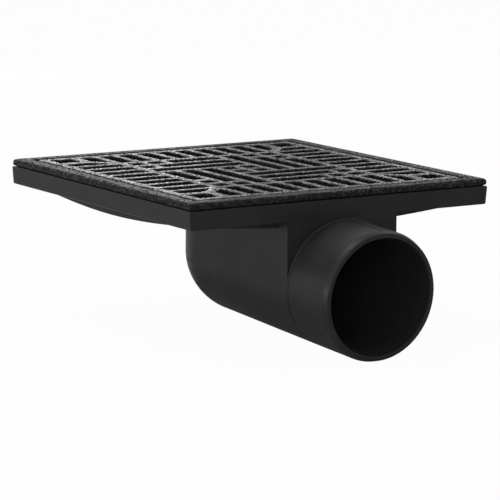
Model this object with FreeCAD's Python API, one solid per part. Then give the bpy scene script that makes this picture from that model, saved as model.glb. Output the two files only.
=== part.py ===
"""Floor gully with a square cast-iron grate, a moulded body with a side outlet and a bell trap.

Millimetres. The origin is the centre of the frame's top, which is the finished floor level.
+Z points up and +X points out of the outlet spigot.
"""
import FreeCAD, Part
import math
import os

from FreeCAD import Placement, Rotation, Vector

# Moulded body: skirt and bowl
side = 300.0
skirt_height = 15.7
skirt_draft_deg = 3.0
body_wall = 3.5
body_edge_chamfer = 0.6
body_foot_chamfer = 0.9
bowl_setback = 14.7
bowl_depth_mid = 24.1
bowl_slope_deg = 8.6
bowl_corner = 4.0

# Moulded body: sump and outlet
outlet_diameter = 110.0
outlet_wall = 5.3
outlet_fall_deg = 3.0
well_offset = 6.0
outlet_axis_depth = 64.0
spigot_length = 57.0
spigot_chamfer_length = 5.0
spigot_chamfer_depth = 1.5
sump_step = 0.2
sump_facets = 4
chamber_facets = 3
sump_wall = 4.8
collar_length = 2.0
collar_height = 0.8
parting_groove_width = 0.8
parting_groove_depth = 0.4

# Cast frame
rim_height = 6.5
rim_width = 13.2
rim_round = 2.0
rim_undercut_height = 1.2
rim_undercut_depth = 2.6
frame_clearance = 0.8
frame_corner = 1.5
ledge_width = 10.0
ledge_thickness = 5.7
cast_edge_chamfer = 0.7

# Cast grate
grate_gap = 3.2
grate_sink = 0.2
grate_corner = 1.2
grate_border = 8.4
slot_width = 12.8
slot_draft_deg = 3.0
field_cells = 8
ring_slot_length = 41.4
ring_web = 8.1
corner_hole_size = 19.8
mitre_bar = 9.0

# Bell trap
throat_ledge_width = 9.7
throat_ledge_thickness = 3.5
throat_ledge_depth = 38.5
trap_clearance = 0.5
seal_thickness = 2.0
seal_play = 0.3
trap_wall = 2.5
flange_thickness = 3.0
cup_clearance = 1.5
cup_below_axis = 26.0
standpipe_bore = 28.0
water_seal = 40.0
bell_bore = 50.0
bell_wall = 2.2
bell_foot_gap = 7.0
bell_rib_count = 4
bell_rib_thickness = 2.5
bell_rib_height = 8.0
bell_rib_guide = 10.0
bell_rib_overhang = 3.0
bell_rib_clearance = 0.5
grip_height = 10.0
grip_width = 26.0
grip_thickness = 4.0
grip_round = 5.0

# Levels and radii that follow from the sizes above
half = side / 2
body_top = -rim_height
skirt_bottom = body_top - skirt_height
shelf_top = skirt_bottom + body_wall
skirt_foot_half = half - skirt_height * math.tan(math.radians(skirt_draft_deg))
pocket_half = skirt_foot_half - body_wall
bowl_half = half - bowl_setback
bowl_mid = body_top - bowl_depth_mid
bowl_slope = math.tan(math.radians(bowl_slope_deg))
bowl_wall_rise = body_wall / math.cos(math.radians(bowl_slope_deg))

outlet_radius = outlet_diameter / 2
bore_radius = outlet_radius - outlet_wall
sump_radius = outlet_radius + sump_step
chamber_radius = sump_radius - sump_wall
front_x = skirt_foot_half
fall = math.radians(outlet_fall_deg)
elbow_centre = Vector(well_offset, 0, body_top - outlet_axis_depth)
outlet_direction = Vector(math.cos(fall), 0, -math.sin(fall))
front_run = (front_x - well_offset) / math.cos(fall)
spigot_end_run = front_run + spigot_length

leg_half = pocket_half - frame_clearance
opening_half = half - rim_width
ledge_half = opening_half - ledge_width
grate_bottom = shelf_top + ledge_thickness
grate_top = -grate_sink
grate_half = opening_half - grate_gap
ring_outer = grate_half - grate_border
ring_inner = ring_outer - ring_slot_length
field_half = ring_inner - ring_web
slot_pitch = (2 * field_half - slot_width) / (field_cells - 1)
slot_growth = (grate_top - grate_bottom) * math.tan(math.radians(slot_draft_deg))

throat_radius = bore_radius - throat_ledge_width
throat_ledge_top = body_top - throat_ledge_depth
throat_ledge_bottom = throat_ledge_top - throat_ledge_thickness
flange_radius = bore_radius - trap_clearance
flange_bottom = throat_ledge_top + seal_thickness
flange_top = flange_bottom + flange_thickness
cup_radius = throat_radius - cup_clearance
cup_bottom = elbow_centre.z - cup_below_axis
cup_floor = cup_bottom + trap_wall
standpipe_inner = standpipe_bore / 2
standpipe_outer = standpipe_inner + trap_wall
bell_foot = cup_floor + bell_foot_gap
overflow = bell_foot + water_seal
bell_inner = bell_bore / 2
bell_outer = bell_inner + bell_wall
crown_bottom = overflow + bell_rib_height
crown_top = crown_bottom + bell_wall


def tapered_block(low, high):
    """Upright block whose rectangle changes evenly from the low one to the high one.

    A rectangle is (x_low, x_high, y_low, y_high, z).
    """
    wedge = Part.makeWedge(
        low[0], low[4], -low[3], -high[3], high[0], low[1], high[4], -low[2], -high[2], high[1]
    )
    wedge.rotate(Vector(0, 0, 0), Vector(1, 0, 0), 90)
    return wedge


def square_block(low_half, low_z, high_half, high_z):
    """Centred square block whose side changes evenly from the low level to the high one."""
    low = (-low_half, low_half, -low_half, low_half, low_z)
    high = (-high_half, high_half, -high_half, high_half, high_z)
    return tapered_block(low, high)


def upright_edges(block):
    """The four corner edges of a block."""
    return [edge for edge in block.Edges if edge.BoundBox.ZLength > block.BoundBox.ZLength / 2]


def edges_at(block, level):
    """Edges of a block that lie at the given level."""
    return [edge for edge in block.Edges if abs(edge.BoundBox.ZMin - level) + edge.BoundBox.ZLength < 1e-5]


def revolved(points):
    """Solid of revolution about Z from (radius, height) points."""
    corners = [Vector(radius, 0, height) for radius, height in points]
    face = Part.Face(Part.makePolygon(corners + corners[:1]))
    return face.revolve(Vector(0, 0, 0), Vector(0, 0, 1), 360)


def turned_about_z(shape, angle):
    """Copy of a shape turned about the Z axis by an angle in degrees."""
    copy = shape.copy()
    copy.rotate(Vector(0, 0, 0), Vector(0, 0, 1), angle)
    return copy


def along_outlet(shape):
    """Move a shape from the Z axis to the outlet's axis, with its base at the elbow's centre."""
    shape.Placement = Placement(elbow_centre, Rotation(Vector(0, 0, 1), outlet_direction))
    return shape


def in_well(shape):
    """Move a shape from the Z axis to the well's axis."""
    shape.translate(Vector(well_offset, 0, 0))
    return shape


def bowl_space(half_side, rise, top):
    """Square space above the bowl's cone, which is raised by the given amount."""
    reach = 2 * half_side
    centre_z = bowl_mid - bowl_slope * bowl_half + rise
    cone = revolved([(0, centre_z), (reach, centre_z + bowl_slope * reach), (reach, top + reach), (0, top + reach)])
    block = square_block(half_side, centre_z - 1, half_side, top)
    return block.makeChamfer(bowl_corner, upright_edges(block)).common(cone)


def sump_space(radius, facets, end_x, top):
    """Space of the sump: a round-backed well with a bowed floor, drawn out to a U-shaped channel.

    The bow of the floor is turned in as many flat bands as facets says.
    """
    run = end_x - well_offset
    height = top + run * math.tan(fall) - elbow_centre.z
    angles = [math.pi / 2 * step / facets for step in range(facets + 1)]
    right = [Vector(0, radius, height)]
    right += [Vector(0, radius * math.cos(angle), -radius * math.sin(angle)) for angle in angles]
    left = [Vector(0, -point.y, point.z) for point in reversed(right[:-1])]
    half_outline = [Vector(0, 0, height)] + right
    outline = right + left
    half_section = Part.Face(Part.makePolygon(half_outline + half_outline[:1]))
    section = Part.Face(Part.makePolygon(outline + outline[:1]))
    well = half_section.revolve(Vector(0, 0, 0), Vector(0, 0, 1), 180)
    channel = section.extrude(outlet_direction * (2 * run))
    space = well.fuse(channel)
    space.translate(elbow_centre)
    reach = 3 * radius
    limit = Part.makeBox(
        reach + end_x, 2 * reach, top - elbow_centre.z + reach, Vector(-reach, -reach, elbow_centre.z - reach)
    )
    return space.common(limit)


def spigot():
    """Outlet spigot: a low collar at the front wall, a chamfered end and a parting line along the crown."""
    collar_radius = outlet_radius + collar_height
    collar_end = front_run + collar_length
    chamfer_start = spigot_end_run - spigot_chamfer_length
    tube = revolved([
        (0, 0),
        (collar_radius, 0),
        (collar_radius, collar_end - collar_height),
        (outlet_radius, collar_end),
        (outlet_radius, chamfer_start),
        (outlet_radius - spigot_chamfer_depth, spigot_end_run),
        (0, spigot_end_run),
    ])
    groove = Part.makeBox(
        2 * parting_groove_depth,
        parting_groove_width,
        chamfer_start - collar_end,
        Vector(-outlet_radius - parting_groove_depth, -parting_groove_width / 2, collar_end),
    )
    reach = 2 * outlet_diameter
    ahead = Part.makeBox(reach, 2 * reach, 2 * reach, Vector(front_x, -reach, elbow_centre.z - reach))
    return along_outlet(tube.cut(groove)).common(ahead)


def make_body():
    """Moulded body in one piece: skirt, pocket for the frame, bowl, sump and outlet."""
    skirt = square_block(skirt_foot_half, skirt_bottom, half, body_top)
    skirt = skirt.makeChamfer(body_edge_chamfer, edges_at(skirt, body_top))
    free_foot = [edge for edge in edges_at(skirt, skirt_bottom) if edge.BoundBox.XMin < 0]
    skirt = skirt.makeChamfer(body_foot_chamfer, free_foot)
    bowl = bowl_space(bowl_half, 0, shelf_top)
    sump = sump_space(sump_radius, sump_facets, front_x, skirt_bottom)
    outside = skirt.multiFuse([bowl, sump, spigot()])

    pocket = square_block(pocket_half, shelf_top, pocket_half, body_top + rim_height)
    basin = bowl_space(bowl_half - body_wall, bowl_wall_rise, shelf_top + body_wall)
    neck_height = skirt_bottom - throat_ledge_bottom
    throat_neck = in_well(Part.makeCylinder(sump_radius, neck_height, Vector(0, 0, throat_ledge_bottom)))
    chamber = sump_space(chamber_radius, chamber_facets, front_x - sump_wall, skirt_bottom)
    chamber = chamber.cut(bowl).cut(throat_neck)
    bore = along_outlet(Part.makeCylinder(bore_radius, 2 * spigot_end_run))
    outlet_only = Part.makeBox(
        2 * spigot_end_run,
        4 * bore_radius,
        4 * bore_radius,
        Vector(front_x - 2 * outlet_wall, -2 * bore_radius, elbow_centre.z - 3 * bore_radius),
    )
    seat = in_well(Part.makeCylinder(bore_radius, body_top - throat_ledge_top, Vector(0, 0, throat_ledge_top)))
    throat = Part.makeCylinder(throat_radius, outlet_axis_depth, elbow_centre)
    return outside.cut([pocket, basin, chamber, bore.common(outlet_only), seat, throat])


def make_frame():
    """Cast frame: a rim over the skirt, a leg that stands in the pocket and a ledge for the grate."""
    rim_foot = body_top + rim_undercut_height
    rim = square_block(half, rim_foot, half, 0)
    rim = rim.makeChamfer(frame_corner, upright_edges(rim))
    rim = rim.makeFillet(rim_round, edges_at(rim, 0))
    undercut = square_block(half - rim_undercut_depth, body_top, half - frame_corner, rim_foot)
    leg = square_block(leg_half, shelf_top, leg_half, body_top)
    opening = square_block(opening_half, grate_bottom, opening_half, rim_height)
    edge = square_block(
        opening_half, -cast_edge_chamfer, opening_half + 2 * cast_edge_chamfer, cast_edge_chamfer
    )
    drain = square_block(ledge_half, shelf_top - ledge_thickness, ledge_half, rim_height)
    return rim.multiFuse([undercut, leg]).cut([opening, edge, drain])


def slot(x_low, x_high, y_low, y_high):
    """Cutter of one slot, wider towards the underside so that nothing jams in it."""
    top = (x_low, x_high, y_low, y_high, grate_top)
    foot = (x_low - slot_growth, x_high + slot_growth, y_low - slot_growth, y_high + slot_growth, grate_bottom)
    return tapered_block(foot, top)


def field_quarter():
    """Cutters of one quarter of the inner field: a stepped group of slots and its single holes."""
    middle = (field_cells - 1) / 2
    last = field_cells - 1
    group = field_cells // 2 - 1
    run_end = field_cells - group - 1
    reach = slot_width / 2

    def cells(first, final, row):
        x_low = (first - middle) * slot_pitch - reach
        x_high = (final - middle) * slot_pitch + reach
        y_middle = (row - middle) * slot_pitch
        return slot(x_low, x_high, y_middle - reach, y_middle + reach)

    cutters = []
    for step in range(group):
        singles = group - 1 - step
        row = last - step
        for column in range(singles):
            cutters.append(cells(column, column, row))
        cutters.append(cells(singles, run_end, row))
    centre_column = field_cells // 2 - 1
    cutters.append(cells(centre_column, centre_column, field_cells // 2))
    return cutters


def mitred_slot(x_middle):
    """Cutter of the short slot beside a corner, ended along the diagonal bar."""
    reach = slot_width / 2
    sign = math.copysign(1, x_middle)
    blank = slot(x_middle - reach, x_middle + reach, ring_inner, ring_outer)
    size = 4 * ring_outer
    offset = mitre_bar / math.sqrt(2)
    keep = Part.makeBox(size, size, size, Vector(0, -size / 2, -size / 2))
    keep.rotate(Vector(0, 0, 0), Vector(0, 0, 1), 90 + 45 * sign)
    keep.translate(Vector(0, offset, 0))
    return blank.common(keep)


def ring_quarter():
    """Cutters of one side of the outer ring: long slots, two mitred slots and a corner hole."""
    reach = slot_width / 2
    middle = (field_cells - 1) / 2
    cutters = []
    for column in range(field_cells):
        x_middle = (column - middle) * slot_pitch
        cutters.append(slot(x_middle - reach, x_middle + reach, ring_inner, ring_outer))
    for sign in (-1, 1):
        cutters.append(mitred_slot(sign * (middle + 1) * slot_pitch))
    hole_low = ring_outer - corner_hole_size
    cutters.append(slot(hole_low, ring_outer, hole_low, ring_outer))
    return cutters


def make_grate():
    """Cast grate: a flat plate with a turning pattern of slots inside a ring of radial ones."""
    plate = square_block(grate_half, grate_bottom, grate_half, grate_top)
    plate = plate.makeChamfer(grate_corner, upright_edges(plate))
    plate = plate.makeChamfer(cast_edge_chamfer, edges_at(plate, grate_top))
    quarter = field_quarter() + ring_quarter()
    cutters = [turned_about_z(cutter, 90 * turn) for turn in range(4) for cutter in quarter]
    return plate.cut(cutters)


def make_trap_seal():
    """Flat rubber ring between the throat's ledge and the cup's flange."""
    return revolved([
        (throat_radius + seal_play, throat_ledge_top),
        (flange_radius, throat_ledge_top),
        (flange_radius, flange_bottom),
        (throat_radius + seal_play, flange_bottom),
    ])


def make_trap_cup():
    """Removable cup with a hanging flange and a standpipe, which sets the water level."""
    cup_inner = cup_radius - trap_wall
    return revolved([
        (standpipe_inner, cup_bottom),
        (cup_radius, cup_bottom),
        (cup_radius, flange_bottom),
        (flange_radius, flange_bottom),
        (flange_radius, flange_top),
        (cup_inner, flange_top),
        (cup_inner, cup_floor),
        (standpipe_outer, cup_floor),
        (standpipe_outer, overflow),
        (standpipe_inner, overflow),
    ])


def bell_rib():
    """One rib inside the bell: rests on the standpipe's rim and centres the bell on it."""
    inner = standpipe_inner - bell_rib_overhang
    guide = standpipe_outer + bell_rib_clearance
    outer = bell_inner + bell_wall / 2
    level = -bell_rib_thickness / 2
    corners = [
        Vector(inner, level, overflow),
        Vector(guide, level, overflow),
        Vector(guide, level, overflow - bell_rib_guide),
        Vector(outer, level, overflow - bell_rib_guide),
        Vector(outer, level, crown_bottom + bell_wall / 2),
        Vector(inner, level, crown_bottom + bell_wall / 2),
    ]
    face = Part.Face(Part.makePolygon(corners + corners[:1]))
    return face.extrude(Vector(0, bell_rib_thickness, 0))


def make_trap_bell():
    """Loose bell over the standpipe, with ribs inside and a grip on its crown."""
    shell = revolved([
        (0, crown_bottom),
        (bell_inner, crown_bottom),
        (bell_inner, bell_foot),
        (bell_outer, bell_foot),
        (bell_outer, crown_top),
        (0, crown_top),
    ])
    ribs = [turned_about_z(bell_rib(), 360 / bell_rib_count * index) for index in range(bell_rib_count)]
    grip = Part.makeBox(
        grip_width, grip_thickness, grip_height + bell_wall / 2,
        Vector(-grip_width / 2, -grip_thickness / 2, crown_top - bell_wall / 2),
    )
    corners = [
        edge for edge in grip.Edges
        if abs(edge.BoundBox.ZMin - crown_top - grip_height) < 1e-6 and edge.BoundBox.XLength < 1e-6
    ]
    return shell.multiFuse(ribs + [grip.makeFillet(grip_round, corners)])


def main():
    """Build every piece and write one file for each."""
    pieces = {
        "gully_body": make_body(),
        "grate_frame": make_frame(),
        "grate": make_grate(),
        "trap_seal": in_well(make_trap_seal()),
        "trap_cup": in_well(make_trap_cup()),
        "trap_bell": in_well(make_trap_bell()),
    }
    os.makedirs("parts", exist_ok=True)
    for name, shape in pieces.items():
        solid = shape.removeSplitter()
        print(name, len(solid.Solids), solid.isValid(), round(solid.Volume / 1000, 1), "cm3")
        solid.exportStep(f"parts/{name}.step")


main()
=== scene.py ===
"""Finished look of a floor gully: moulded body, cast frame and grate, and the bell trap inside.

Metres, in the frame of the solids: the origin is the centre of the frame's top, +Z is up and +X points
out of the outlet spigot.
"""

import logging
import math
from collections.abc import Callable
from dataclasses import dataclass
from enum import Enum

import bmesh
import bpy
from mathutils import Matrix, Vector


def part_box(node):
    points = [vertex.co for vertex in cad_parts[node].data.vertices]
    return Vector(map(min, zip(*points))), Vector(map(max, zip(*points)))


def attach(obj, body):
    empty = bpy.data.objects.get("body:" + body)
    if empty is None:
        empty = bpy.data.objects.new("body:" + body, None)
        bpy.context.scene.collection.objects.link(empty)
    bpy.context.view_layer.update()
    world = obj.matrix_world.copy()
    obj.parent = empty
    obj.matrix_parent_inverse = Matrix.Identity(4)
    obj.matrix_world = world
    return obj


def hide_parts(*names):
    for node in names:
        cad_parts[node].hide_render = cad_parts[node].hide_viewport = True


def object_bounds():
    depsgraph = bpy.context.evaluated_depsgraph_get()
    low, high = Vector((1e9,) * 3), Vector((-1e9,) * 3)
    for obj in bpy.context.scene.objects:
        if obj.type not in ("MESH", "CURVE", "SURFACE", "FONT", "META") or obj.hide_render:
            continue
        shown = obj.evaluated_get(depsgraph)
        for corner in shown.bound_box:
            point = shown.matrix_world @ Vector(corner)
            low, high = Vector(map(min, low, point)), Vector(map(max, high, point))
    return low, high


LOG = logging.getLogger("floor_gully")
MM = 0.001
MERGE = 0.002 * MM
QUARTER_TURN = math.pi / 2
SQUARE_CORNER_STEPS = 5
NOISE_MEAN = 0.5
WHITE = (1, 1, 1, 1)
CARRIED_NORMALS = "custom_normal"

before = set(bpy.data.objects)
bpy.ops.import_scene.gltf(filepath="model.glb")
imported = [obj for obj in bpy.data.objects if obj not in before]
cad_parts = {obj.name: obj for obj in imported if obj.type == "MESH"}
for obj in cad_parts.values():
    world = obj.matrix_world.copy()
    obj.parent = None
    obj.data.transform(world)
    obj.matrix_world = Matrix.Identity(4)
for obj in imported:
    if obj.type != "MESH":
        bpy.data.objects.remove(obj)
CAD_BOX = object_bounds()


class Value:
    """Number, colour or vector that a shader node gives, for use in Python expressions."""

    def __init__(self, graph: "Graph", socket: bpy.types.NodeSocket) -> None:
        """Keep the graph and the socket that the value comes from."""
        self.graph = graph
        self.socket = socket

    def _maths(self, operation: str, left: "Value | float", right: "Value | float") -> "Value":
        """Add a Math node and return its result."""
        return self.graph.add("ShaderNodeMath", {"operation": operation}, {0: left, 1: right})

    def __add__(self, other: "Value | float") -> "Value":
        """Sum of two values."""
        return self._maths("ADD", self, other)

    def __radd__(self, other: float) -> "Value":
        """Sum of a number and a value."""
        return self._maths("ADD", other, self)

    def __sub__(self, other: "Value | float") -> "Value":
        """Difference of two values."""
        return self._maths("SUBTRACT", self, other)

    def __rsub__(self, other: float) -> "Value":
        """Difference of a number and a value."""
        return self._maths("SUBTRACT", other, self)

    def __mul__(self, other: "Value | float") -> "Value":
        """Product of two values."""
        return self._maths("MULTIPLY", self, other)

    def __rmul__(self, other: float) -> "Value":
        """Product of a number and a value."""
        return self._maths("MULTIPLY", other, self)

    def above(self, low: float, high: float) -> "Value":
        """Mask that rises smoothly from 0 at the low value to 1 at the high one."""
        inputs = {"Value": self, "From Min": low, "From Max": high}
        return self.graph.add("ShaderNodeMapRange", {"interpolation_type": "SMOOTHSTEP"}, inputs)


class Graph:
    """Node tree of a material or of the world, filled by short calls."""

    def __init__(self, tree: bpy.types.NodeTree) -> None:
        """Start from an empty tree."""
        self.tree = tree
        tree.nodes.clear()

    def add(
        self, kind: str, settings: dict | None = None, inputs: dict | None = None, output: int | str = 0
    ) -> Value:
        """Add a node of any kind.

        Args:
            kind: The node's type.
            settings: Properties of the node, which are set first.
            inputs: Numbers or values for its sockets, by name or place.
            output: The socket to return, by name or place.

        Returns:
            The value of that socket.
        """
        node = self.tree.nodes.new(kind)
        for name, setting in (settings or {}).items():
            setattr(node, name, setting)
        for key, source in (inputs or {}).items():
            if isinstance(source, Value):
                self.tree.links.new(source.socket, node.inputs[key])
            else:
                node.inputs[key].default_value = source
        return Value(self, node.outputs[output] if len(node.outputs) else None)

    def place(self) -> Value:
        """Position on the object, in metres."""
        return self.add("ShaderNodeTexCoord", output="Object")

    def level(self) -> Value:
        """Height on the object, in metres."""
        return self.add("ShaderNodeSeparateXYZ", inputs={"Vector": self.place()}, output="Z")

    def noise(self, scale: float, detail: float = 2.0, roughness: float = 0.5) -> Value:
        """Soft noise over the object, with a scale in cells per metre."""
        inputs = {"Vector": self.place(), "Scale": scale, "Detail": detail, "Roughness": roughness}
        return self.add("ShaderNodeTexNoise", inputs=inputs)

    def scatter(self, scale: float, output: str) -> Value:
        """Output of a pattern of many scattered cells, with a scale in cells per metre."""
        inputs = {"Vector": self.place(), "Scale": scale}
        return self.add("ShaderNodeTexVoronoi", {"feature": "F1"}, inputs, output)

    def pits(self, scale: float) -> Value:
        """Distance from the middle of the nearest cell, in cells."""
        return self.scatter(scale, "Distance")

    def grains(self, scale: float) -> Value:
        """Random number of each of many small cells, about 0.5."""
        return self.scatter(scale, "Color")

    def mix(self, factor: Value, low: tuple, high: tuple) -> Value:
        """Colour between two colours, which a Mix node takes at places 6 and 7 and gives at 2."""
        inputs = {0: factor, 6: (*low, 1), 7: (*high, 1)}
        return self.add("ShaderNodeMix", {"data_type": "RGBA"}, inputs, output=2)

    def blend(self, factor: Value, first: Value, second: Value) -> Value:
        """Shader between two shaders."""
        return self.add("ShaderNodeMixShader", inputs={0: factor, 1: first, 2: second})

    def bump(self, height: Value, depth: float, under: Value | None = None) -> Value:
        """Normal of a relief.

        Args:
            height: Height of the relief, from 0 to 1.
            depth: Depth of the relief in metres.
            under: Normal of a coarser relief below this one.

        Returns:
            The bent normal.
        """
        inputs = {"Strength": 1.0, "Distance": depth, "Height": height}
        if under is not None:
            inputs["Normal"] = under
        return self.add("ShaderNodeBump", inputs=inputs)


def grey(tone: float) -> tuple:
    """Colour with the same share of red, green and blue."""
    return (tone, tone, tone)


@dataclass(frozen=True)
class Skin:
    """Finish of a piece, from which its material is made."""

    name: str

    def surface(self, graph: Graph) -> dict:
        """Inputs of the Principled shader, which each finish gives for itself."""
        raise NotImplementedError

    def material(self) -> bpy.types.Material:
        """Make the material.

        Returns:
            The new material.
        """
        material = bpy.data.materials.new(self.name)
        material.use_nodes = True
        graph = Graph(material.node_tree)
        shader = graph.add("ShaderNodeBsdfPrincipled", inputs=self.surface(graph))
        graph.add("ShaderNodeOutputMaterial", inputs={"Surface": shader})
        return material


@dataclass(frozen=True)
class MouldedPlastic(Skin):
    """Injection-moulded plastic: fine grain over a slight waviness, with a soft gloss."""

    dark: tuple
    light: tuple
    roughness: float
    specular: float
    roughness_swing: float = 0.08
    cloud_scale: float = 38.0
    cloud_detail: float = 4.0
    cloud_span: tuple = (0.3, 0.7)
    wave_scale: float = 120.0
    wave_depth: float = 0.05 * MM
    grain_scale: float = 2600.0
    grain_detail: float = 1.0
    grain_depth: float = 0.02 * MM

    def surface(self, graph: Graph) -> dict:
        """Lay the grain over the waviness, and clouds over the colour and the gloss.

        Args:
            graph: Graph of the material.

        Returns:
            The inputs of the Principled shader.
        """
        cloud = graph.noise(self.cloud_scale, self.cloud_detail)
        grain = graph.noise(self.grain_scale, self.grain_detail)
        wave = graph.bump(graph.noise(self.wave_scale), self.wave_depth)
        clouded = self.roughness + self.roughness_swing * (cloud - NOISE_MEAN)
        return {
            "Base Color": graph.mix(cloud.above(*self.cloud_span), self.dark, self.light),
            "Roughness": clouded + self.roughness_swing * (grain - NOISE_MEAN),
            "Specular IOR Level": self.specular,
            "Normal": graph.bump(grain, self.grain_depth, wave),
        }


@dataclass(frozen=True)
class CastIron(Skin):
    """Sand-cast iron under a black dip coat: a grainy skin with pits, worn bright where feet pass over it,
    with a painted glint on the worn grains and painted shade low in the recesses.
    """

    # Strength of the bright grains: worn metal with a painted glint.
    wear_and_glint: float
    # Share of the bright grains kept deep in the recesses; the rest is taken away as painted shade.
    shaded_recess_share: float
    specular: float
    grain_span: tuple
    sand_depth: float
    coat: tuple = (0.003, 0.003, 0.003)
    # Colour of the bright grains: worn iron, lightened further as a painted glint.
    worn_glint_colour: tuple = (0.045, 0.045, 0.044)
    # Level from which the top is fully worn and free of painted shade.
    worn_unshaded_level: float = -0.6 * MM
    # Level at which the painted shade in the recesses is deepest.
    unworn_shaded_level: float = -4.5 * MM
    roughness: float = 0.8
    roughness_swing: float = 0.1
    polish: float = 0.5
    gloss_roughness: float = 0.18
    grain_scale: float = 820.0
    sand_scale: float = 760.0
    sand_detail: float = 3.0
    sand_roughness: float = 0.6
    sand_span: tuple = (0.38, 0.56)
    cloud_scale: float = 55.0
    cloud_detail: float = 3.0
    cloud_span: tuple = (0.1, 0.5)
    pit_scale: float = 420.0
    pit_span: tuple = (0.0, 0.35)
    pit_depth: float = 0.4 * MM

    def surface(self, graph: Graph) -> dict:
        """Lay sand grain over pits, and make single grains bright as worn metal with a painted glint, most
        of all on the top where feet pass; lower down the grains fade as painted shade.

        Args:
            graph: Graph of the material.

        Returns:
            The inputs of the Principled shader.
        """
        sand = graph.noise(self.sand_scale, self.sand_detail, self.sand_roughness)
        pit = graph.pits(self.pit_scale).above(*self.pit_span)
        cloud = graph.noise(self.cloud_scale, self.cloud_detail)
        grain = graph.grains(self.grain_scale).above(*self.grain_span)
        # Painted shade: the bright grains fade with depth, so slot walls and the lower sides come out
        # darker.
        wear_and_shade = self.shaded_recess_share + (1 - self.shaded_recess_share) * graph.level().above(self.unworn_shaded_level, self.worn_unshaded_level)
        # Bright grains, worn metal with a painted glint, only on sandy high spots and in patches.
        high = self.wear_and_glint * wear_and_shade * grain * sand.above(*self.sand_span) * cloud.above(*self.cloud_span)
        coarse = graph.bump(pit, self.pit_depth)
        return {
            # The bright grains' lighter colour is partly a painted glint.
            "Base Color": graph.mix(high, self.coat, self.worn_glint_colour),
            "Roughness": self.roughness - self.polish * high + self.roughness_swing * (cloud - NOISE_MEAN),
            "Specular IOR Level": self.specular,
            "Coat Weight": high,
            "Coat Roughness": self.gloss_roughness,
            "Normal": graph.bump(sand, self.sand_depth, coarse),
        }


@dataclass(frozen=True)
class Rubber(Skin):
    """Matt black rubber with a fine dusty bloom."""

    dark: tuple = (0.008, 0.008, 0.008)
    bloom: tuple = (0.022, 0.022, 0.021)
    roughness: float = 0.72
    roughness_swing: float = 0.2
    specular: float = 0.35
    dust_scale: float = 420.0
    dust_detail: float = 4.0
    dust_span: tuple = (0.45, 0.7)
    dust_depth: float = 0.03 * MM

    def surface(self, graph: Graph) -> dict:
        """Lay the bloom over the rubber.

        Args:
            graph: Graph of the material.

        Returns:
            The inputs of the Principled shader.
        """
        dust = graph.noise(self.dust_scale, self.dust_detail)
        return {
            "Base Color": graph.mix(dust.above(*self.dust_span), self.dark, self.bloom),
            "Roughness": self.roughness + self.roughness_swing * (dust - NOISE_MEAN),
            "Specular IOR Level": self.specular,
            "Normal": graph.bump(dust, self.dust_depth),
        }


class Finish(Enum):
    """The finishes of the gully, each with the record's slot that it belongs to."""

    BODY = ("body_plastic", MouldedPlastic(
        "black_body_plastic", dark=grey(0.0175), light=grey(0.0205), roughness=0.38, specular=0.1
    ))
    # Each iron sets how strong its bright grains are (worn metal with a painted glint), and how much of
    # them is kept deep in the recesses, where the rest is painted shade.
    FRAME = ("cast_iron", CastIron(
        "coated_frame_iron", wear_and_glint=0.45, shaded_recess_share=0.95, specular=0.08, grain_span=(0.48, 0.7),
        sand_depth=0.9 * MM, coat=grey(0.007),
    ))
    GRATE = ("cast_iron", CastIron(
        "coated_grate_iron", wear_and_glint=1.0, shaded_recess_share=0.04, specular=0.06, grain_span=(0.3, 0.74),
        sand_depth=0.45 * MM,
    ))
    TRAP = ("trap_plastic", MouldedPlastic(
        "grey_trap_plastic", dark=grey(0.03), light=grey(0.045), roughness=0.4, specular=0.4
    ))
    SEAL = ("seal_rubber", Rubber("seal_rubber"))

    def dress(self, piece: bpy.types.Object) -> None:
        """Give a piece this finish.

        Args:
            piece: The piece.
        """
        slot, finish = self.value
        material = bpy.data.materials.get(finish.name) or finish.material()
        piece.data.materials.clear()
        piece.data.materials.append(material)


def verts_of(geometry: list) -> list:
    """The vertices among what a mesh operator made."""
    return [item for item in geometry if isinstance(item, bmesh.types.BMVert)]


def crease_edges(mesh: bmesh.types.BMesh, crease: float) -> None:
    """Shade a mesh smooth, with sharp edges where it turns most.

    Args:
        mesh: The mesh.
        crease: Angle in degrees from which an edge is sharp.
    """
    for face in mesh.faces:
        face.smooth = True
    for edge in mesh.edges:
        edge.smooth = edge.calc_face_angle(math.pi) < math.radians(crease)


def finished_piece(mesh: bmesh.types.BMesh, name: str, node: str, finish: Finish) -> bpy.types.Object:
    """Turn a finished mesh into a piece that stands for a solid.

    Args:
        mesh: The mesh, which is freed.
        name: Name of the piece.
        node: Solid that the piece stands for.
        finish: Its finish.

    Returns:
        The new object.
    """
    data = bpy.data.meshes.new(name)
    mesh.to_mesh(data)
    mesh.free()
    if CARRIED_NORMALS in data.attributes:
        data.attributes.remove(data.attributes[CARRIED_NORMALS])
    piece = bpy.data.objects.new(name, data)
    bpy.context.scene.collection.objects.link(piece)
    finish.dress(piece)
    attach(piece, "root")
    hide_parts(node)
    return piece


def merged_copy(node: str) -> bmesh.types.BMesh:
    """Copy a solid's mesh and join its loose triangles.

    Args:
        node: Name of the solid.

    Returns:
        The copy.
    """
    mesh = bmesh.new()
    mesh.from_mesh(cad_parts[node].data)
    bmesh.ops.remove_doubles(mesh, verts=mesh.verts[:], dist=MERGE)
    return mesh


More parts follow.
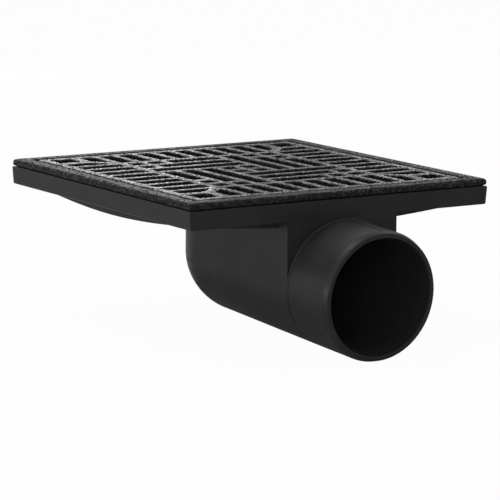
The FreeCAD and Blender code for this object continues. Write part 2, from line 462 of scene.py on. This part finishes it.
@dataclass
class MouldedBody:
    """The body in one moulding: skirt, bowl, sump and spigot."""

    node: str = "gully_body"
    crease: float = 13.0
    well_offset: float = 6 * MM
    axis_level: float = -70.5 * MM
    sump_radius: float = 55.2 * MM
    front: float = 149.3 * MM
    front_reach: float = 0.5 * MM
    chamber_radius: float = 50.4 * MM
    bore_radius: float = 49.7 * MM
    bore_start: float = 138.5 * MM
    fall: float = math.radians(3)
    band_sag: float = 1.3 * MM
    band_facing: float = 0.5
    step_facing: float = 0.9
    cuts: int = 3
    sliver: float = 0.05 * MM
    edge_round: float = 0.7 * MM
    edge_steps: int = 3

    def soften(self, mesh: bmesh.types.BMesh, verts: set) -> None:
        """Round the sharp edges between chosen vertices.

        Args:
            mesh: The body's mesh.
            verts: The vertices.
        """
        sharp = math.radians(self.crease)
        edges = [
            edge for edge in mesh.edges
            if all(vert in verts for vert in edge.verts) and edge.calc_face_angle(0) > sharp
        ]
        bmesh.ops.bevel(
            mesh, geom=edges, offset=self.edge_round, segments=self.edge_steps, profile=0.5,
            affect="EDGES", material=-1,
        )
        LOG.info("rounded %d edges of the body", len(edges))

    def soften_edges(self, mesh: bmesh.types.BMesh) -> None:
        """Round the spigot's lip and the upright edges of the channel's front wall.

        Args:
            mesh: The body's mesh.
        """
        outward = Vector((math.cos(self.fall), 0, -math.sin(self.fall)))
        end = max(vert.co.dot(outward) for vert in mesh.verts)
        self.soften(mesh, {vert for vert in mesh.verts if end - vert.co.dot(outward) < self.sliver})
        for side in (-1, 1):
            wall = [vert for vert in mesh.verts if abs(vert.co.x - self.front) < self.front_reach]
            upright = {vert for vert in wall if abs(side * vert.co.y - self.sump_radius) < self.sliver}
            self.soften(mesh, upright)

    def spoke(self, place: Vector) -> Vector:
        """Vector from the sump's axis, or from the elbow's centre behind it, to a place on the sump.

        Args:
            place: The place.

        Returns:
            The vector, which has no part along X in front of the elbow's centre.
        """
        run = place.x - self.well_offset
        level = self.axis_level - max(run, 0) * math.tan(self.fall)
        return Vector((min(run, 0), place.y, place.z - level))

    def on_bow(self, place: Vector) -> bool:
        """Tell whether a place lies on the bowed underside of the sump.

        Args:
            place: The place.

        Returns:
            True if it does.
        """
        spoke = self.spoke(place)
        inside = self.sump_radius - spoke.length
        return -self.sliver < inside < self.band_sag and spoke.z < self.sliver and place.x < self.front

    def in_chamber(self, place: Vector) -> bool:
        """Tell whether a place lies on the lower half of the chamber inside the sump.

        Args:
            place: The place.

        Returns:
            True if it does.
        """
        spoke = self.spoke(place)
        low, high = self.bore_radius - self.sliver, self.chamber_radius + self.sliver
        return low < spoke.length < high and spoke.z < self.sliver

    def underside(self, mesh: bmesh.types.BMesh) -> list:
        """Find the faces of the sump's underside, without the channel's front wall.

        Args:
            mesh: The body's mesh.

        Returns:
            The faces.
        """
        return [
            face for face in mesh.faces
            if face.normal.x < self.band_facing and all(self.on_bow(vert.co) for vert in face.verts)
        ]

    def round_bands(
        self, mesh: bmesh.types.BMesh, bands: list, radius: float, lies_on: Callable[[Vector], bool]
    ) -> None:
        """Divide flat bands and carry the new vertices out to a true round.

        Args:
            mesh: The body's mesh.
            bands: Faces of the bands.
            radius: Radius of the round.
            lies_on: Test of whether a place lies on the round.
        """
        edges = list({edge for face in bands for edge in face.edges})
        made = bmesh.ops.subdivide_edges(mesh, edges=edges, cuts=self.cuts, use_grid_fill=True)
        for vert in verts_of(made["geom_inner"]):
            spoke = self.spoke(vert.co)
            vert.co += spoke * max(radius / spoke.length - 1, 0)
        edges = [edge for edge in mesh.edges if all(lies_on(vert.co) for vert in edge.verts)]
        bmesh.ops.dissolve_degenerate(mesh, dist=self.sliver, edges=edges)
        mesh.normal_update()

    def ease_chamber(self, mesh: bmesh.types.BMesh) -> None:
        """Round the chamber's flat bands where they stand inside the bore, so that no step is left.

        Args:
            mesh: The body's mesh.
        """
        floor = [face for face in mesh.faces if all(self.in_chamber(vert.co) for vert in face.verts)]
        bands = [face for face in floor if min(vert.co.x for vert in face.verts) < self.bore_start]
        steps = {face for face in floor if face.normal.x > self.step_facing} - set(bands)
        seams = [edge for edge in mesh.edges if all(face in steps for face in edge.link_faces)]
        bmesh.ops.dissolve_edges(mesh, edges=seams, use_verts=False)
        self.round_bands(mesh, bands, self.bore_radius, self.in_chamber)
        LOG.info("eased %d bands of the chamber", len(bands))

    def smooth_bow(self, data: bpy.types.Mesh, bow: list) -> None:
        """Give the bowed underside the normals of the true round.

        Args:
            data: The body's mesh.
            bow: Indices of the faces of the underside.
        """
        normals = [corner.vector.copy() for corner in data.corner_normals]
        for face in (data.polygons[index] for index in bow):
            for corner, vert in zip(face.loop_indices, face.vertices):
                place = data.vertices[vert].co
                normal = self.spoke(place)
                if place.x > self.well_offset:
                    normal.x = normal.z * math.tan(self.fall)
                normals[corner] = normal.normalized()
        data.normals_split_custom_set(normals)

    def build(self) -> list:
        """Make the body, with softened edges and the flat bands of the chamber and the underside rounded.

        Returns:
            The one piece.
        """
        mesh = merged_copy(self.node)
        self.soften_edges(mesh)
        self.ease_chamber(mesh)
        bands = self.underside(mesh)
        self.round_bands(mesh, bands, self.sump_radius, self.on_bow)
        mesh.faces.index_update()
        bow = [face.index for face in self.underside(mesh)]
        LOG.info("rounded %d bands of the sump to %d faces", len(bands), len(bow))
        crease_edges(mesh, self.crease)
        piece = finished_piece(mesh, "body_moulding", self.node, Finish.BODY)
        self.smooth_bow(piece.data, bow)
        return [piece]


@dataclass
class BellTrap:
    """The loose trap under the grate: seal, cup and bell."""

    crease: float = 28.0
    pieces: tuple = (
        ("trap_seal", "seal_ring", Finish.SEAL),
        ("trap_cup", "cup_insert", Finish.TRAP),
        ("trap_bell", "bell_cap", Finish.TRAP),
    )

    def build(self) -> list:
        """Make the three pieces with smooth round walls.

        Returns:
            The pieces.
        """
        made = []
        for node, name, finish in self.pieces:
            mesh = merged_copy(node)
            crease_edges(mesh, self.crease)
            made.append(finished_piece(mesh, name, node, finish))
        return made


def quarter_arc(radius: float, steps: int) -> list:
    """Points of a quarter round between two faces that are square to each other.

    Args:
        radius: Radius of the round.
        steps: Number of its steps.

    Returns:
        Distances from the second and from the first face, from (radius, 0) to (0, radius).
    """
    angles = [QUARTER_TURN * step / steps for step in range(steps + 1)]
    return [(radius * (1 - math.sin(angle)), radius * (1 - math.cos(angle))) for angle in angles]


def rounded_square(mesh: bmesh.types.BMesh, half: float, corner: float, level: float) -> list:
    """Square loop of edges with rounded corners.

    Args:
        mesh: Mesh that gets the loop.
        half: Half of the square's side.
        corner: Radius of its corners.
        level: Height of the loop.

    Returns:
        The edges of the loop.
    """
    signs = ((-1, -1), (1, -1), (1, 1), (-1, 1))
    corners = [mesh.verts.new((half * x, half * y, level)) for x, y in signs]
    before = set(mesh.faces)
    mesh.faces.new(corners)
    bmesh.ops.bevel(
        mesh, geom=corners, offset=corner, segments=SQUARE_CORNER_STEPS, profile=0.5,
        affect="VERTICES", material=-1,
    )
    face = next(face for face in mesh.faces if face not in before)
    edges = list(face.edges)
    bmesh.ops.delete(mesh, geom=[face], context="FACES_ONLY")
    return edges


def next_ring(mesh: bmesh.types.BMesh, edges: list, centre: Vector, scale: tuple, drop: float) -> list:
    """Extrude a loop of edges to a loop that is scaled about a centre and lies lower.

    Args:
        mesh: Mesh that holds the loop.
        edges: Edges of the loop.
        centre: Centre of the scaling.
        scale: Factors along X and Y.
        drop: How much lower the new loop lies.

    Returns:
        The edges of the new loop.
    """
    made = bmesh.ops.extrude_edge_only(mesh, edges=edges)["geom"]
    verts = verts_of(made)
    bmesh.ops.scale(mesh, vec=(*scale, 1), space=Matrix.Translation(-centre), verts=verts)
    bmesh.ops.translate(mesh, vec=(0, 0, -drop), verts=verts)
    inside = set(verts)
    new_edges = [item for item in made if isinstance(item, bmesh.types.BMEdge)]
    return [edge for edge in new_edges if all(vert in inside for vert in edge.verts)]


@dataclass
class CastFrame:
    """Cast frame: rim over the skirt, leg in the pocket and ledge under the grate."""

    node: str = "grate_frame"
    rim_width: float = 13.2 * MM
    rim_round: float = 2.6 * MM
    rim_depth: float = 5.6 * MM
    nose_round: float = 1.2 * MM
    undercut: float = 2.6 * MM
    leg_setback: float = 5.1 * MM
    seat_depth: float = 6.5 * MM
    ledge_width: float = 10 * MM
    ledge_level: float = 13 * MM
    corner: float = 1.8 * MM
    inner_edge: float = 0.9 * MM
    round_steps: int = 4
    crease: float = 35.0

    def profile(self) -> list:
        """Draw the section of one side, from the rim's inner edge over the nose and the leg to the ledge.

        Returns:
            Distances from the frame's centre with their heights.
        """
        low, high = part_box(self.node)
        half = high[0]
        opening = half - self.rim_width
        ledge = opening - self.ledge_width
        leg = half - self.leg_setback
        rim = quarter_arc(self.rim_round, self.round_steps)
        nose = quarter_arc(self.nose_round, self.round_steps)
        edge = quarter_arc(self.inner_edge, self.round_steps)
        return [
            (opening + self.inner_edge, high[2]),
            *((half - inset, high[2] - drop) for inset, drop in rim),
            *((half - inset, rise - self.rim_depth) for rise, inset in nose),
            (half - self.undercut, -self.seat_depth),
            (leg, -self.seat_depth),
            (leg, low[2]),
            (ledge, low[2]),
            (ledge, -self.ledge_level),
            (opening, -self.ledge_level),
            (opening, -self.inner_edge),
            *((opening + inset, -drop) for drop, inset in edge[1:-1]),
        ]

    def build(self) -> list:
        """Make the frame from one profile carried round the square.

        Returns:
            The one piece.
        """
        profile = self.profile()
        mesh = bmesh.new()
        first = rounded_square(mesh, profile[0][0], self.corner, profile[0][1])
        ring = first
        for before, after in zip(profile, profile[1:]):
            factor = after[0] / before[0]
            ring = next_ring(mesh, ring, Vector(), (factor, factor), before[1] - after[1])
        bmesh.ops.bridge_loops(mesh, edges=ring + first)
        bmesh.ops.recalc_face_normals(mesh, faces=mesh.faces[:])
        crease_edges(mesh, self.crease)
        return [finished_piece(mesh, "frame_casting", self.node, Finish.FRAME)]


@dataclass
class CastGrate:
    """Cast grate: a turning pattern of slots inside a ring of radial slots."""

    node: str = "grate"
    border: float = 8.4 * MM
    slot_width: float = 12.8 * MM
    field_cells: int = 8
    ring_slot_length: float = 41.4 * MM
    ring_web: float = 8.1 * MM
    corner_hole: float = 19.8 * MM
    mitre_bar: float = 9.0 * MM
    slot_corner: float = 2.2 * MM
    slot_corner_steps: int = 4
    plate_corner: float = 2.5 * MM
    bar_round: float = 0.8 * MM
    draft: float = 0.68 * MM
    round_steps: int = 4
    crease: float = 35.0

    def __post_init__(self) -> None:
        """Work out the pattern's levels from the solid's box."""
        low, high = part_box(self.node)
        self.half = high[0]
        self.top = high[2]
        self.depth = high[2] - low[2]
        self.ring_outer = self.half - self.border
        self.ring_inner = self.ring_outer - self.ring_slot_length
        span = 2 * (self.ring_inner - self.ring_web) - self.slot_width
        self.pitch = span / (self.field_cells - 1)
        self.middle = (self.field_cells - 1) / 2
        self.reach = self.slot_width / 2

    def outline(self, mesh: bmesh.types.BMesh, wide: tuple, deep: tuple) -> bmesh.types.BMFace:
        """Face of one slot at the top, with square corners, from its spans in X and Y."""
        corners = ((wide[0], deep[0]), (wide[1], deep[0]), (wide[1], deep[1]), (wide[0], deep[1]))
        return mesh.faces.new([mesh.verts.new((x, y, self.top)) for x, y in corners])

    def cells(self, mesh: bmesh.types.BMesh, first: int, last: int, row: int) -> None:
        """Add the face of a slot in the field.

        Args:
            mesh: Mesh that gets the face.
            first: Column in which the slot starts.
            last: Column in which it ends.
            row: Its row.
        """
        y_middle = (row - self.middle) * self.pitch
        x_low = (first - self.middle) * self.pitch - self.reach
        x_high = (last - self.middle) * self.pitch + self.reach
        self.outline(mesh, (x_low, x_high), (y_middle - self.reach, y_middle + self.reach))

    def field_quarter(self, mesh: bmesh.types.BMesh) -> None:
        """Add the faces of one quarter of the inner field: stepped slots and single holes.

        Args:
            mesh: Mesh that gets the faces.
        """
        last = self.field_cells - 1
        group = self.field_cells // 2 - 1
        for step in range(group):
            singles = group - 1 - step
            for column in range(singles):
                self.cells(mesh, column, column, last - step)
            self.cells(mesh, singles, last - group, last - step)
        self.cells(mesh, group, group, group + 1)

    def ring_quarter(self, mesh: bmesh.types.BMesh) -> None:
        """Add the faces of one side of the ring: long slots, two mitred slots and a corner hole.

        Args:
            mesh: Mesh that gets the faces.
        """
        for column in range(-1, self.field_cells + 1):
            x_middle = (column - self.middle) * self.pitch
            wide = (x_middle - self.reach, x_middle + self.reach)
            face = self.outline(mesh, wide, (self.ring_inner, self.ring_outer))
            if not 0 <= column < self.field_cells:
                bmesh.ops.bisect_plane(
                    mesh, geom=[face, *face.edges, *face.verts],
                    plane_co=(0, self.mitre_bar / math.sqrt(2), 0),
                    plane_no=(math.copysign(1, x_middle), -1, 0), clear_outer=True,
                )
        hole = (self.ring_outer - self.corner_hole, self.ring_outer)
        self.outline(mesh, hole, hole)

    def sink(self, mesh: bmesh.types.BMesh, edges: list, outward: float) -> list:
        """Carry a loop from the plate's top to its underside over a rounded edge.

        Args:
            mesh: Mesh that holds the loop.
            edges: Edges of the loop, at its true size.
            outward: 1 for a slot, whose edge opens upwards, and -1 for the plate.

        Returns:
            The edges of the loop at the top and at the underside.
        """
        verts = list({vert for edge in edges for vert in edge.verts})
        low = Vector([min(vert.co[axis] for vert in verts) for axis in range(3)])
        high = Vector([max(vert.co[axis] for vert in verts) for axis in range(3)])
        centre = (low + high) / 2
        size = high - low
        levels = [(outward * grow, fall) for grow, fall in quarter_arc(self.bar_round, self.round_steps)]
        levels.append((max(outward, 0) * self.draft, self.depth))
        scale = [(size[axis] + 2 * levels[0][0]) / size[axis] for axis in range(2)]
        bmesh.ops.scale(mesh, vec=(*scale, 1), space=Matrix.Translation(-centre), verts=verts)
        ring = edges
        for (grow, fall), (new_grow, new_fall) in zip(levels, levels[1:]):
            scale = [(size[axis] + 2 * new_grow) / (size[axis] + 2 * grow) for axis in range(2)]
            ring = next_ring(mesh, ring, centre, scale, new_fall - fall)
        return [edges, ring]

    def build(self) -> list:
        """Make the grate with rounded bars, from one quarter of its pattern that is turned.

        Returns:
            The one piece.
        """
        mesh = bmesh.new()
        self.field_quarter(mesh)
        self.ring_quarter(mesh)
        bmesh.ops.bevel(
            mesh, geom=mesh.verts[:], offset=self.slot_corner, segments=self.slot_corner_steps,
            profile=0.5, affect="VERTICES", material=-1,
        )
        quarter = mesh.faces[:] + mesh.edges[:] + mesh.verts[:]
        for turn in range(1, 4):
            verts = verts_of(bmesh.ops.duplicate(mesh, geom=quarter)["geom"])
            bmesh.ops.rotate(mesh, matrix=Matrix.Rotation(QUARTER_TURN * turn, 3, "Z"), verts=verts)
        faces = mesh.faces[:]
        loops = [list(face.edges) for face in faces]
        bmesh.ops.delete(mesh, geom=faces, context="FACES_ONLY")
        rings = [self.sink(mesh, loop, 1) for loop in loops]
        rings.append(self.sink(mesh, rounded_square(mesh, self.half, self.plate_corner, self.top), -1))
        for side, up in ((0, 1), (1, -1)):
            edges = [edge for ring in rings for edge in ring[side]]
            bmesh.ops.triangle_fill(mesh, use_beauty=True, edges=edges, normal=(0, 0, up))
        bmesh.ops.recalc_face_normals(mesh, faces=mesh.faces[:])
        crease_edges(mesh, self.crease)
        return [finished_piece(mesh, "grate_casting", self.node, Finish.GRATE)]


@dataclass(frozen=True)
class SoftLamp:
    """Soft lamp that points at the object, with its place, its width and height and its power in watts."""

    name: str
    place: tuple
    size: tuple
    power: float

    def hang(self) -> None:
        """Put the lamp into the scene."""
        data = bpy.data.lights.new(self.name, "AREA")
        data.shape = "RECTANGLE"
        data.size, data.size_y = self.size
        data.energy = self.power
        lamp = bpy.data.objects.new(self.name, data)
        lamp.location = self.place
        lamp.rotation_euler = (-Vector(self.place)).to_track_quat("-Z", "Y").to_euler()
        bpy.context.scene.collection.objects.link(lamp)


@dataclass
class Studio:
    """Pale floor, soft light and the camera of the product view."""

    frame_pixels: float = 500.0
    focal_pixels: float = 2851.09
    sensor: float = 36.0
    clip_end: float = 50.0
    azimuth: float = 56.9387
    elevation: float = 9.7492
    roll: float = -0.6697
    distance: float = 2.49095
    offset_right: float = -0.00379
    offset_down: float = -0.06487
    centre_level: float = -6.5 * MM
    fill: float = 0.48
    world_glow: float = 1.0
    world_gleam: float = 1.0
    floor_size: float = 8.0
    floor_tone: float = 0.7
    floor_glow: float = 0.97
    floor_gleam: float = 0.0
    lamps: tuple = (
        SoftLamp("key_lamp", (-0.2, -1.8, 0.0), (1.2, 0.25), 11.5),
        SoftLamp("top_lamp", (-0.55, -0.5, 1.72), (0.8, 0.8), 14.7),
        SoftLamp("back_lamp", (-1.95, 0.68, 0.4), (0.9, 0.9), 4.2),
        SoftLamp("right_lamp", (-1.35, 1.59, 0.4), (0.9, 0.9), 1.3),
        SoftLamp("front_lamp", (1.9, -1.2, 0.4), (1.0, 1.0), 11.1),
    )

    def camera(self) -> None:
        """Place the camera by its bearing, its distance and the offset of the grate from its axis."""
        azimuth, elevation = math.radians(self.azimuth), math.radians(self.elevation)
        roll = math.radians(self.roll)
        flat = math.cos(elevation)
        back = Vector((math.sin(azimuth) * flat, -math.cos(azimuth) * flat, math.sin(elevation)))
        level = (-back).cross(Vector((0, 0, 1))).normalized()
        plumb = (-back).cross(level)
        right = math.cos(roll) * level + math.sin(roll) * plumb
        down = -math.sin(roll) * level + math.cos(roll) * plumb
        place = back * self.distance - right * self.offset_right - down * self.offset_down
        place.z += self.centre_level
        data = bpy.data.cameras.new("product_camera")
        data.sensor_width = self.sensor
        data.lens = self.focal_pixels / self.frame_pixels * self.sensor
        data.clip_end = self.clip_end
        camera = bpy.data.objects.new("product_camera", data)
        turn = Matrix((right, -down, back)).transposed()
        camera.matrix_world = Matrix.Translation(place) @ turn.to_4x4()
        bpy.context.scene.collection.objects.link(camera)
        bpy.context.scene.camera = camera

    def backdrop(self, graph: Graph, seen: float, mirrored: float) -> Value:
        """Share of plain white in what a ray meets.

        Args:
            graph: Graph of the floor or the world.
            seen: Share for rays straight from the camera.
            mirrored: Share for rays off gloss or through glass.

        Returns:
            The share, which is 0 for rays that light the object.
        """
        straight, glossy, through = (
            graph.add("ShaderNodeLightPath", output=name)
            for name in ("Is Camera Ray", "Is Glossy Ray", "Is Transmission Ray")
        )
        return seen * straight + mirrored * (glossy + through).above(0.0, 1.0)

    def world(self) -> None:
        """White backdrop that lights the object gently."""
        world = bpy.data.worlds.new("studio")
        world.use_nodes = True
        bpy.context.scene.world = world
        graph = Graph(world.node_tree)
        dim = graph.add("ShaderNodeBackground", inputs={"Color": WHITE, "Strength": self.fill})
        white = graph.add("ShaderNodeBackground", inputs={"Color": WHITE, "Strength": 1.0})
        mixed = graph.blend(self.backdrop(graph, self.world_glow, self.world_gleam), dim, white)
        graph.add("ShaderNodeOutputWorld", inputs={"Surface": mixed})

    def floor(self) -> None:
        """Pale floor under the spigot, almost white to the camera, with the object's soft shadow."""
        material = bpy.data.materials.new("pale_floor")
        material.use_nodes = True
        graph = Graph(material.node_tree)
        pale = graph.add("ShaderNodeBsdfDiffuse", inputs={"Color": (*grey(self.floor_tone), 1)})
        glow = graph.add("ShaderNodeEmission", inputs={"Color": WHITE, "Strength": 1.0})
        mixed = graph.blend(self.backdrop(graph, self.floor_glow, self.floor_gleam), pale, glow)
        graph.add("ShaderNodeOutputMaterial", inputs={"Surface": mixed})
        mesh = bmesh.new()
        bmesh.ops.create_grid(mesh, x_segments=1, y_segments=1, size=self.floor_size)
        bmesh.ops.translate(mesh, vec=(0, 0, CAD_BOX[0][2]), verts=mesh.verts[:])
        data = bpy.data.meshes.new("floor")
        mesh.to_mesh(data)
        mesh.free()
        data.materials.append(material)
        floor = bpy.data.objects.new("floor", data)
        bpy.context.scene.collection.objects.link(floor)

    def build(self) -> None:
        """Set up the camera, the backdrop and the lamps."""
        bpy.context.scene.view_settings.view_transform = "Standard"
        self.camera()
        self.world()
        self.floor()
        for lamp in self.lamps:
            lamp.hang()


def main() -> None:
    """Build every sub-assembly and set up the studio."""
    logging.basicConfig(level=logging.INFO)
    for assembly in (MouldedBody(), CastFrame(), CastGrate(), BellTrap()):
        for piece in assembly.build():
            LOG.info("%s: %d faces", piece.name, len(piece.data.polygons))
    Studio().build()


if __name__ == "__main__":
    main()
